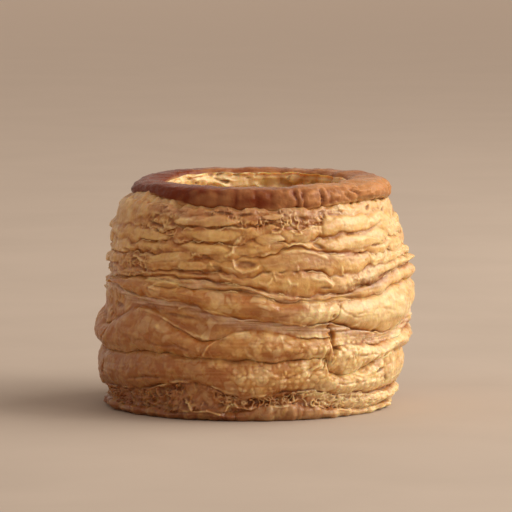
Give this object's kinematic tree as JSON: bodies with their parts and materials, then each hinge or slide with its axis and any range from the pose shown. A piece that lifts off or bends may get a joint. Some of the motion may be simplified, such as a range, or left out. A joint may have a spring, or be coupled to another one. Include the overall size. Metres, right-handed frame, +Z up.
{
  "type": "vol-au-vent",
  "caption": "Empty round puff pastry case with wavy flaky layers on its side, a glazed brown rim and an open well for a filling.",
  "frame": {"origin": "middle of the underside's bounding box, on the surface the case stands on", "axes": "+Z up through the open well, -Y towards the side that the picture shows, +X to the picture's right"},
  "size_m": [0.0908, 0.0892, 0.0649],
  "materials": {
    "baked_pastry": "golden baked puff pastry, satin, with a glossy egg-washed brown rim"
  },
  "bodies": {
    "root": {"pastry_case": "baked_pastry"}
  },
  "joints": []
}
